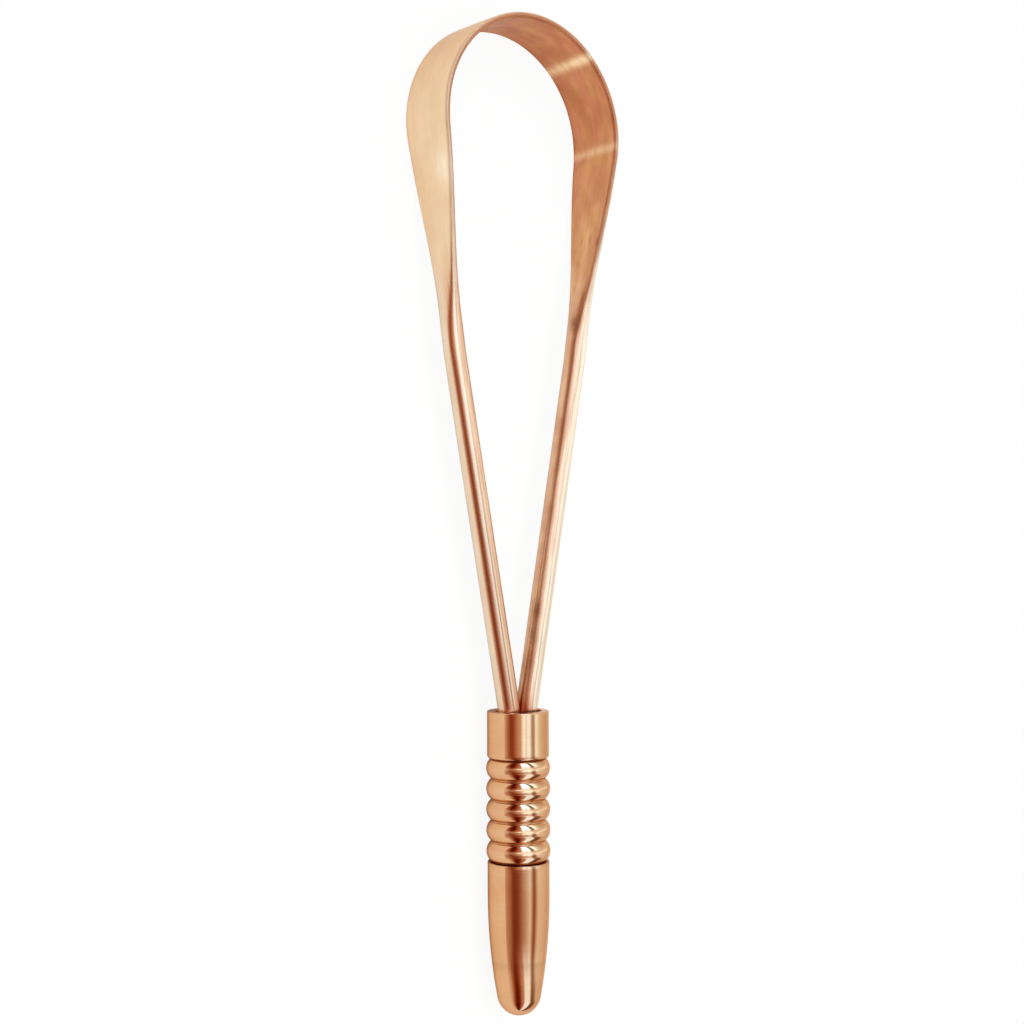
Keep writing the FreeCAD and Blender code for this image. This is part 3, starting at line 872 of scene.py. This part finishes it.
def copper_patina():
    """Group that puts brush lines, patina, rubbed places with painted highlight, and tarnishing with painted
    shade on a copper colour.

    Lines lighten and darken by a few percent, patches lean the colour to the deeper tone, rubbed places and
    painted highlight go to the bright tone, and tarnished marks and painted shade go to brown and take the
    polish off.
    """
    name = "Copper patina"
    if name in bpy.data.node_groups:
        return bpy.data.node_groups[name]
    number = "NodeSocketFloat"
    colour = "NodeSocketColor"
    group, start, end = new_group(
        name,
        [("Copper", colour), ("Deep", colour), ("Bright", colour), ("Tarnish", colour), ("Lines", number),
         ("Patches", number), ("Rubbed", number), ("Marks", number), ("Line Strength", number),
         ("Patch Strength", number), ("Satin", number), ("Polish", number)],
        [("Colour", colour), ("Roughness", number), ("Height", number)])
    take = start.outputs
    patch_share = maths(group, "MULTIPLY", take["Patches"], take["Patch Strength"], True)
    toned = blended(group, patch_share, take["Copper"], take["Deep"])
    line_share = maths(group, "MULTIPLY", take["Lines"], take["Line Strength"], True)
    lined = blended(group, line_share, toned, take["Deep"])
    rubbed_and_highlight = blended(group, take["Rubbed"], lined, take["Bright"])
    # Tarnished marks and painted shade turn the colour brown
    stained_and_shaded = blended(group, take["Marks"], rubbed_and_highlight, take["Tarnish"])
    worn = maths(group, "MULTIPLY", line_share, 0.35)
    satin = maths(group, "ADD", take["Satin"], worn)
    polish_and_highlight = maths(group, "MULTIPLY", take["Rubbed"], -0.1)
    smooth = maths(group, "ADD", satin, polish_and_highlight)
    dull = maths(group, "MULTIPLY", take["Marks"], 0.25)
    rough = maths(group, "ADD", smooth, dull)
    wire(group, stained_and_shaded, end, "Colour")
    wire(group, maths(group, "MAXIMUM", rough, take["Polish"]), end, "Roughness")
    wire(group, maths(group, "SUBTRACT", take["Lines"], take["Marks"]), end, "Height")
    return group


def placed(tree, group, **values):
    """Node that holds a group, with links or plain values on its inputs."""
    made = node(tree, "ShaderNodeGroup", node_tree=group)
    for label, value in values.items():
        wire(tree, value, made, label.replace("_", " "))
    return made.outputs


def four(colour):
    """A colour property as red, green, blue and alpha."""
    return (*colour, 1.0)


def blank_material(name, slant):
    """Empty node material with a metal shader, and the tint of what it mirrors at a slant."""
    old = bpy.data.materials.get(name)
    if old is not None:
        bpy.data.materials.remove(old)
    material = bpy.data.materials.new(name)
    material.use_nodes = True
    tree = material.node_tree
    shader = tree.nodes["Principled BSDF"]
    shader.inputs["Metallic"].default_value = 1.0
    shader.inputs["Specular Tint"].default_value = four(slant)
    return material, tree, shader


def finish_shader(tree, shader, patina, depth):
    """Colour, roughness and a fine bump from the patina group into the metal shader."""
    bump = node(tree, "ShaderNodeBump")
    bump.inputs["Strength"].default_value = 0.35
    bump.inputs["Distance"].default_value = depth
    wire(tree, patina["Height"], bump, "Height")
    wire(tree, patina["Colour"], shader, "Base Color")
    wire(tree, patina["Roughness"], shader, "Roughness")
    wire(tree, bump.outputs["Normal"], shader, "Normal")


def loop_copper(finish):
    """Copper of the loop: pale satin outside, warm and mottled inside with painted shade at the top of the
    arch and painted highlight cross bands, and a high polish on the round legs with painted sheen and
    highlight on their outer sides.
    """
    material, tree, shader = blank_material("loop_copper", finish.loop_slant)
    along = trait(tree, "along")
    across = trait(tree, "across")
    outer = trait(tree, "outer")
    flat = trait(tree, "flatness")
    side = maths(tree, "MULTIPLY", outer, 7.0)
    other_side = maths(tree, "ADD", side, 20.0)
    grain = placed(tree, brushed_grain(), Along=along, Across=across, Side=side, Line_Length=0.02,
                   Line_Width=0.0003, Patch_Size=0.0075)
    ragged = placed(tree, brushed_grain(), Along=along, Across=across, Side=other_side, Line_Length=0.004,
                    Line_Width=0.0009, Patch_Size=0.0045)
    # Warmth of the faces; on the inner face it is partly painted shade at the top of the arch
    warm_and_shade = trait(tree, "warmth_and_shade")
    edge_tone = ranged(tree, along, -0.046, -0.024, 0.1, -0.3)
    outwards = ranged(tree, maths(tree, "ADD", outer, edge_tone), 0.35, 0.65, 0.0, 1.0)
    outside = blended(tree, warm_and_shade, four(finish.outer_face), four(finish.outer_warm))
    inside = blended(tree, warm_and_shade, four(finish.inner_face), four(finish.inner_red_and_shade))
    golden = ranged(tree, ragged["Patches"], 0.25, 1.0, 0.0, 0.55)
    inside = blended(tree, golden, inside, four(finish.inner_golden))
    faces = blended(tree, outwards, inside, outside)
    # Painted highlight colour for the inner cross bands, burnished colour for the outer face
    bright = blended(tree, outwards, four(finish.inner_highlight), four(finish.burnish_and_highlight))
    flattened = ranged(tree, flat, 0.02, 0.45, 0.0, 1.0)
    # Painted sheen: the lower outer side of the legs turns paler
    low_side = ranged(tree, across, 0.0003, 0.0014, 1.0, 0.0)
    pale = maths(tree, "MULTIPLY", low_side, ranged(tree, outer, 0.5, 0.9, 0.0, 1.0))
    legs = blended(tree, pale, four(finish.leg), four(finish.leg_pale_sheen))
    # Painted highlight: the right leg's outer side, up into the taper, turns to the burnished colour
    on_right = ranged(tree, along, -0.001, 0.001, 0.0, 1.0)
    polish_and_highlight = maths(tree, "MULTIPLY", on_right, ranged(tree, outer, 0.2, 0.55, 0.0, 0.9))
    # Heat tint with painted shade between the legs near the rim
    legs = blended(tree, trait(tree, "heat_tint_and_shade"), legs, four(finish.leg_heated_and_shaded))
    copper = blended(tree, flattened, legs, faces)
    taper = ranged(tree, flat, 0.3, 0.9, 1.0, 0.0)
    copper = blended(tree, maths(tree, "MULTIPLY", taper, polish_and_highlight), copper, four(finish.burnish_and_highlight))
    deep = blended(tree, ranged(tree, outer, 0.3, 0.7, 0.6, 0.45), copper, four(finish.loop_deep))
    ground = ranged(tree, trait(tree, "edge"), 0.86, 0.93, 0.0, 0.32)
    ground = maths(tree, "MULTIPLY", ground, ranged(tree, flat, 0.15, 0.6, 0.0, 1.0))
    satin = maths(tree, "ADD", ranged(tree, flat, 0.0, 0.3, 0.16, 0.34), ground)
    broken = ranged(tree, ragged["Lines"], 0.0, 1.0, 0.78, 1.15)
    # Rubbed places together with the painted highlight of the inner cross bands
    rubbed_and_highlight = maths(tree, "MULTIPLY", trait(tree, "burnish_and_highlight"), broken, True)
    patina = placed(tree, copper_patina(), Copper=copper, Deep=deep, Bright=bright,
                    Tarnish=four(finish.tarnish_and_shade), Lines=grain["Lines"], Patches=grain["Patches"],
                    Rubbed=rubbed_and_highlight, Marks=trait(tree, "marks"),
                    Line_Strength=ranged(tree, outer, 0.3, 0.7, 0.3, 0.16),
                    Patch_Strength=ranged(tree, outer, 0.3, 0.7, 0.75, 0.25),
                    Satin=satin, Polish=0.08)
    finish_shader(tree, shader, patina, 0.00001)
    return material


def turned_copper(finish):
    """Copper of the handle: fine turning lines round the axis, and brown tarnishing with painted shade in
    seams and grooves.
    """
    name = "turned_copper"
    if name in bpy.data.materials:
        return bpy.data.materials[name]
    material, tree, shader = blank_material(name, finish.handle_slant)
    place = node(tree, "ShaderNodeTexCoord").outputs["Object"]
    split = node(tree, "ShaderNodeSeparateXYZ")
    wire(tree, place, split, 0)
    sideways = maths(tree, "ADD", split.outputs["X"], split.outputs["Z"])
    depth = maths(tree, "MULTIPLY", split.outputs["Z"], 60.0)
    grain = placed(tree, brushed_grain(), Along=sideways, Across=split.outputs["Y"], Side=depth,
                   Line_Length=0.012, Line_Width=0.00022, Patch_Size=0.009)
    patina = placed(tree, copper_patina(), Copper=four(finish.handle), Deep=four(finish.handle_deep),
                    Bright=four(finish.burnish_and_highlight), Tarnish=four(finish.tarnish_and_shade),
                    Lines=grain["Lines"], Patches=grain["Patches"], Rubbed=trait(tree, "burnish_and_highlight"),
                    Marks=trait(tree, "marks"), Line_Strength=0.1, Patch_Strength=0.18, Satin=0.07,
                    Polish=0.05)
    finish_shader(tree, shader, patina, 0.000004)
    return material


def braze_copper(finish):
    """Dull filler metal, uneven and dark where it sank."""
    material, tree, shader = blank_material("braze_copper", finish.handle_slant)
    place = node(tree, "ShaderNodeTexCoord").outputs["Object"]
    split = node(tree, "ShaderNodeSeparateXYZ")
    wire(tree, place, split, 0)
    grain = placed(tree, brushed_grain(), Along=split.outputs["X"], Across=split.outputs["Z"], Side=0.0,
                   Line_Length=0.0006, Line_Width=0.0005, Patch_Size=0.0015)
    patina = placed(tree, copper_patina(), Copper=four(finish.braze), Deep=four(finish.braze_deep),
                    Bright=four(finish.burnish_and_highlight), Tarnish=four(finish.tarnish_and_shade), Lines=grain["Lines"],
                    Patches=grain["Patches"], Rubbed=0.0, Marks=trait(tree, "marks"), Line_Strength=0.4,
                    Patch_Strength=0.5, Satin=0.35, Polish=0.2)
    finish_shader(tree, shader, patina, 0.00003)
    return material


def seam_marks(y, places, spread):
    """Brown tarnishing with painted shade beside each seam or groove: the strongest of the bell shapes at
    the given places.
    """
    return np.max([bump_at(y, place, spread) for place in places], axis=0)


def put_turned(name, profile, closed, marks, burnish_and_highlight, node, finish):
    """New turned piece of the handle, whose tarnished marks, painted shade and rubbed places go all the way
    round.
    """
    points, quads, triangles = turned_surface(profile, TURNED_SEGMENTS, closed)
    traits = {
        "marks": around(marks, TURNED_SEGMENTS, closed),
        "burnish_and_highlight": around(burnish_and_highlight, TURNED_SEGMENTS, closed),
    }
    put_piece(name, points, quads, triangles, traits, node, turned_copper(finish))


class ScraperLoop(bpy.types.Operator):
    """Build the flattened rod: band, taper and legs in one piece."""
    bl_idname = "scraper.loop"
    bl_label = "Loop"

    def execute(self, context):
        scene = context.scene
        points, quads, triangles, traits = loop_surface(scene.loop_sizes)
        material = loop_copper(scene.copper_finish)
        put_piece("copper_loop", points, quads, triangles, traits, "scraper_loop", material)
        return {"FINISHED"}


class ScraperCollar(bpy.types.Operator):
    """Turn the plain collar that the legs enter."""
    bl_idname = "scraper.collar"
    bl_label = "Collar"

    def execute(self, context):
        scene = context.scene
        sizes = scene.handle_sizes
        profile = collar_profile(sizes)
        radius, y = profile.T
        # Tarnishing with painted shade at the seam, and darker inside the bore
        seam = 0.45 * bump_at(y, COLLAR_LOW.y, SEAM_SPREAD)
        bore = 0.3 * np.clip(1 - (radius - sizes.bore_radius) / BORE_DARKENING_DEPTH, 0, 1)
        marks = np.maximum(seam, bore)
        put_turned("turned_collar", profile, True, marks, 0 * y, "collar", scene.copper_finish)
        return {"FINISHED"}


class ScraperGrip(bpy.types.Operator):
    """Turn the grip with its ring beads."""
    bl_idname = "scraper.grip"
    bl_label = "Beaded grip"

    def execute(self, context):
        scene = context.scene
        sizes = scene.handle_sizes
        profile = grip_profile(sizes)
        radius, y = profile.T
        roots = np.linspace(GRIP_LOW.y, GRIP_HIGH.y, sizes.bead_count + 1)
        # Tarnishing with painted shade in the grooves and at the end seams
        grooves = 0.4 * seam_marks(y, roots[1:-1], GROOVE_SPREAD)
        seams = 0.5 * seam_marks(y, roots[[0, -1]], SEAM_SPREAD)
        marks = np.maximum(grooves, seams)
        crest = 0.08 * np.clip((radius - sizes.bead_radius + CREST_DEPTH) / CREST_DEPTH, 0, 1)
        put_turned("beaded_sleeve", profile, True, marks, crest, "beaded_grip", scene.copper_finish)
        return {"FINISHED"}


class ScraperCap(bpy.types.Operator):
    """Turn the bullet-shaped cap with its spigot."""
    bl_idname = "scraper.cap"
    bl_label = "End cap"

    def execute(self, context):
        scene = context.scene
        profile = cap_profile(scene.handle_sizes)
        y = profile[:, 1]
        # Tarnishing with painted shade at the seam, and a faint ring near the tip
        seam = 0.5 * bump_at(y, GRIP_LOW.y, GROOVE_SPREAD)
        ring = 0.12 * bump_at(y, CAP_LOW.y + CAP_RING_PLACE, CAP_RING_SPREAD)
        marks = np.maximum(seam, ring)
        put_turned("bullet_cap", profile, False, marks, 0 * y, "end_cap", scene.copper_finish)
        return {"FINISHED"}


class ScraperBraze(bpy.types.Operator):
    """Pour the filler metal round the legs."""
    bl_idname = "scraper.braze"
    bl_label = "Braze"

    def execute(self, context):
        scene = context.scene
        points, quads, triangles, traits = braze_surface(scene.handle_sizes, scene.loop_sizes)
        material = braze_copper(scene.copper_finish)
        put_piece("braze_pool", points, quads, triangles, traits, "braze_fill", material)
        return {"FINISHED"}


def pale_floor(stage):
    """Floor whose colour the light shades, with a share of plain white for camera, metal and glass.

    The camera's share grows to the whole with the distance from the object, so the floor ends in white.
    """
    material = bpy.data.materials.new("pale_floor")
    material.use_nodes = True
    tree = material.node_tree
    tree.nodes.remove(tree.nodes["Principled BSDF"])
    matt = node(tree, "ShaderNodeBsdfDiffuse")
    matt.inputs["Color"].default_value = four(stage.floor)
    white = node(tree, "ShaderNodeEmission")
    path = node(tree, "ShaderNodeLightPath")
    mirrored = maths(tree, "MAXIMUM", path.outputs["Is Glossy Ray"], path.outputs["Is Transmission Ray"])
    mirrored = maths(tree, "MULTIPLY", mirrored, stage.floor_shine)
    reach = node(tree, "ShaderNodeVectorMath", operation="LENGTH")
    wire(tree, node(tree, "ShaderNodeTexCoord").outputs["Object"], reach, 0)
    glow = ranged(tree, reach.outputs["Value"], *FLOOR_FADE, stage.floor_glow, 1.0)
    direct = maths(tree, "MULTIPLY", path.outputs["Is Camera Ray"], glow)
    mix = node(tree, "ShaderNodeMixShader")
    wire(tree, maths(tree, "MAXIMUM", direct, mirrored), mix, 0)
    wire(tree, matt.outputs[0], mix, 1)
    wire(tree, white.outputs[0], mix, 2)
    wire(tree, mix.outputs[0], tree.nodes["Material Output"], "Surface")
    return material


def panel_ramp(tree, share, stops):
    """Colour ramp over the angle round the handle's axis, with stops in degrees from overhead towards +X."""
    ramp = node(tree, "ShaderNodeValToRGB")
    wire(tree, share, ramp, 0)
    elements = ramp.color_ramp.elements
    while len(elements) < len(stops):
        elements.new(0.5)
    for element, (degrees, colour) in zip(elements, stops):
        element.position = (degrees + 180) / 360
        element.color = four(colour)
    return ramp.outputs["Color"]


def studio_world(stage):
    """White surroundings for camera and glass, the studio's panels for metal, a plain fill for the rest.

    The panels are colour ramps over the angle round the handle's axis. They run into each other over the
    direction's Y. From the handle's side towards the loop's come a brown wall with a cool window overhead
    and a smaller one on the right, a dim strip across them, one broad window, a plain pale wall and the
    brown wall again. Far towards both ends the contrast grows. At the handle's end the panels stand askew,
    with a calmer window and a wider dark wall on the right.
    """
    world = bpy.data.worlds.new("studio")
    world.use_nodes = True
    tree = world.node_tree
    split = node(tree, "ShaderNodeSeparateXYZ")
    wire(tree, node(tree, "ShaderNodeTexCoord").outputs["Generated"], split, 0)
    angle = maths(tree, "ARCTAN2", split.outputs["X"], split.outputs["Z"])
    along = split.outputs["Y"]
    askew = ranged(tree, along, *ASKEW_EDGE, ASKEW_TURN, 0.0)
    turned = maths(tree, "SUBTRACT", maths(tree, "ADD", angle, math.pi), askew)
    share = maths(tree, "DIVIDE", turned, 2 * math.pi)
    handle_side = panel_ramp(tree, share, HANDLE_SIDE_PANELS)
    dim_strip = panel_ramp(tree, share, DIM_PANELS)
    window = panel_ramp(tree, share, WINDOW_PANELS)
    far_wall = panel_ramp(tree, share, FAR_WALL_PANELS)
    handle_end = panel_ramp(tree, share, HANDLE_END_PANELS)
    contrast = node(tree, "ShaderNodeGamma")
    at_end = ranged(tree, along, *HANDLE_END_EDGE, 1.0, 0.0)
    far_out = maths(tree, "ABSOLUTE", along)
    wire(tree, blended(tree, at_end, handle_side, handle_end), contrast, "Color")
    wire(tree, ranged(tree, far_out, *CONTRAST_EDGE, 1.0, END_CONTRAST), contrast, "Gamma")
    strip_near = ranged(tree, along, *STRIP_NEAR_EDGE, 1.0, 0.0)
    strip_far = ranged(tree, along, *STRIP_FAR_EDGE, 0.0, 1.0)
    in_strip = maths(tree, "MULTIPLY", strip_near, strip_far)
    near = blended(tree, in_strip, contrast.outputs["Color"], dim_strip)
    loop_side = blended(tree, ranged(tree, along, *FAR_WALL_EDGE, 0.0, 1.0), window, far_wall)
    loop_near = ranged(tree, along, *WINDOW_EDGE, 0.0, 1.0)
    loop_far = ranged(tree, along, *LOOP_END_EDGE, 1.0, 0.0)
    panels = blended(tree, maths(tree, "MULTIPLY", loop_near, loop_far), near, loop_side)
    path = node(tree, "ShaderNodeLightPath")
    seen = maths(tree, "MAXIMUM", path.outputs["Is Camera Ray"], path.outputs["Is Glossy Ray"])
    seen = maths(tree, "MAXIMUM", seen, path.outputs["Is Transmission Ray"])
    colour = blended(tree, path.outputs["Is Glossy Ray"], (1.0, 1.0, 1.0, 1.0), panels)
    back = tree.nodes["Background"]
    wire(tree, colour, back, "Color")
    wire(tree, ranged(tree, seen, 0.0, 1.0, stage.fill, 1.0), back, "Strength")
    return world


def put_lamp(name, place, target, width, length, brightness):
    """Softbox: a rectangle of even light, whose power is pi times its area times its brightness."""
    lamp = bpy.data.lights.new(name, "AREA")
    lamp.shape = "RECTANGLE"
    lamp.size = width
    lamp.size_y = length
    lamp.energy = math.pi * width * length * brightness
    holder = bpy.data.objects.new(name, lamp)
    bpy.context.scene.collection.objects.link(holder)
    holder.matrix_world = looking(Vector(place), Vector(target), Vector((0, 1, 0)))
    return holder


def looking(place, target, up):
    """Matrix of a lamp or camera at a place, facing a target."""
    back = (place - target).normalized()
    right = up.cross(back).normalized()
    turned = Matrix((right, back.cross(right), back)).transposed().to_4x4()
    return Matrix.Translation(place) @ turned


def put_camera(stage):
    """Camera at the viewing angle: from overhead, turned round the handle's axis, pitched and rolled."""
    across = Vector((math.cos(stage.turn), 0, math.sin(stage.turn)))
    facing = Vector((-math.sin(stage.turn), 0, math.cos(stage.turn)))
    length = Vector((0, 1, 0))
    up = math.cos(stage.pitch) * length - math.sin(stage.pitch) * facing
    back = math.sin(stage.pitch) * length + math.cos(stage.pitch) * facing
    right = math.cos(stage.roll) * across - math.sin(stage.roll) * up
    upright = math.sin(stage.roll) * across + math.cos(stage.roll) * up
    camera = bpy.data.cameras.new("camera")
    camera.sensor_width = SENSOR_WIDTH
    camera.lens = stage.lens
    camera.clip_start = 0.01
    camera.shift_x = stage.shift
    holder = bpy.data.objects.new("camera", camera)
    bpy.context.scene.collection.objects.link(holder)
    target = Vector((0, stage.target, AXIS_HEIGHT))
    turned = Matrix((right, upright, back)).transposed().to_4x4()
    holder.matrix_world = Matrix.Translation(target + back * stage.distance) @ turned
    bpy.context.scene.camera = holder


class ScraperStage(bpy.types.Operator):
    """Lay the floor, hang the light and set the camera."""
    bl_idname = "scraper.stage"
    bl_label = "Stage"

    def execute(self, context):
        scene = context.scene
        stage = scene.studio_stage
        reach = np.linspace(-FLOOR_REACH, FLOOR_REACH, FLOOR_POINTS)
        x, y = np.meshgrid(reach, reach, indexing="ij")
        points = np.stack([x.ravel(), y.ravel(), np.zeros(x.size)], 1)
        mesh = bpy.data.meshes.new("floor")
        quads = grid_quads(FLOOR_POINTS, FLOOR_POINTS, False, False)[:, ::-1]
        mesh.from_pydata(points.tolist(), [], quads.tolist())
        mesh.materials.append(pale_floor(stage))
        floor = bpy.data.objects.new("floor", mesh)
        scene.collection.objects.link(floor)
        scene.world = studio_world(stage)
        lamp = put_lamp("overhead_softbox", LAMP_PLACE, LAMP_TARGET, LAMP_WIDTH, LAMP_LENGTH, stage.lamp)
        lamp.visible_glossy = False
        put_camera(stage)
        scene.view_settings.view_transform = "Standard"
        return {"FINISHED"}


class ScraperPanel(bpy.types.Panel):
    """Sidebar panel with the scraper's pieces and settings."""
    bl_idname = "VIEW3D_PT_scraper"
    bl_label = "Tongue scraper"
    bl_space_type = "VIEW_3D"
    bl_region_type = "UI"
    bl_category = "Scraper"

    def draw(self, context):
        layout = self.layout
        for operator in BUILD_ORDER:
            layout.operator(operator.bl_idname)
        for label, holder in SETTINGS.items():
            box = layout.box()
            box.label(text=label)
            group = getattr(context.scene, holder)
            for name in group.__annotations__:
                box.prop(group, name)


BUILD_ORDER = (ScraperLoop, ScraperCollar, ScraperGrip, ScraperCap, ScraperBraze, ScraperStage)
GROUPS = {
    "loop_sizes": LoopSizes,
    "handle_sizes": HandleSizes,
    "copper_finish": CopperFinish,
    "studio_stage": StudioStage,
}
SETTINGS = {
    "Loop": "loop_sizes",
    "Handle": "handle_sizes",
    "Copper": "copper_finish",
    "Stage": "studio_stage",
}


def register():
    """Register the settings, the operators and the panel."""
    for group in GROUPS.values():
        bpy.utils.register_class(group)
    for operator in BUILD_ORDER:
        bpy.utils.register_class(operator)
    bpy.utils.register_class(ScraperPanel)
    for holder, group in GROUPS.items():
        setattr(bpy.types.Scene, holder, bpy.props.PointerProperty(type=group))


def unregister():
    """Take everything out again, in the opposite order."""
    for holder in reversed(GROUPS):
        delattr(bpy.types.Scene, holder)
    bpy.utils.unregister_class(ScraperPanel)
    for operator in reversed(BUILD_ORDER):
        bpy.utils.unregister_class(operator)
    for group in reversed(GROUPS.values()):
        bpy.utils.unregister_class(group)


def main():
    """Build every piece and the stage."""
    register()
    bpy.ops.scraper.loop()
    bpy.ops.scraper.collar()
    bpy.ops.scraper.grip()
    bpy.ops.scraper.cap()
    bpy.ops.scraper.braze()
    bpy.ops.scraper.stage()


if __name__ == "__main__":
    main()
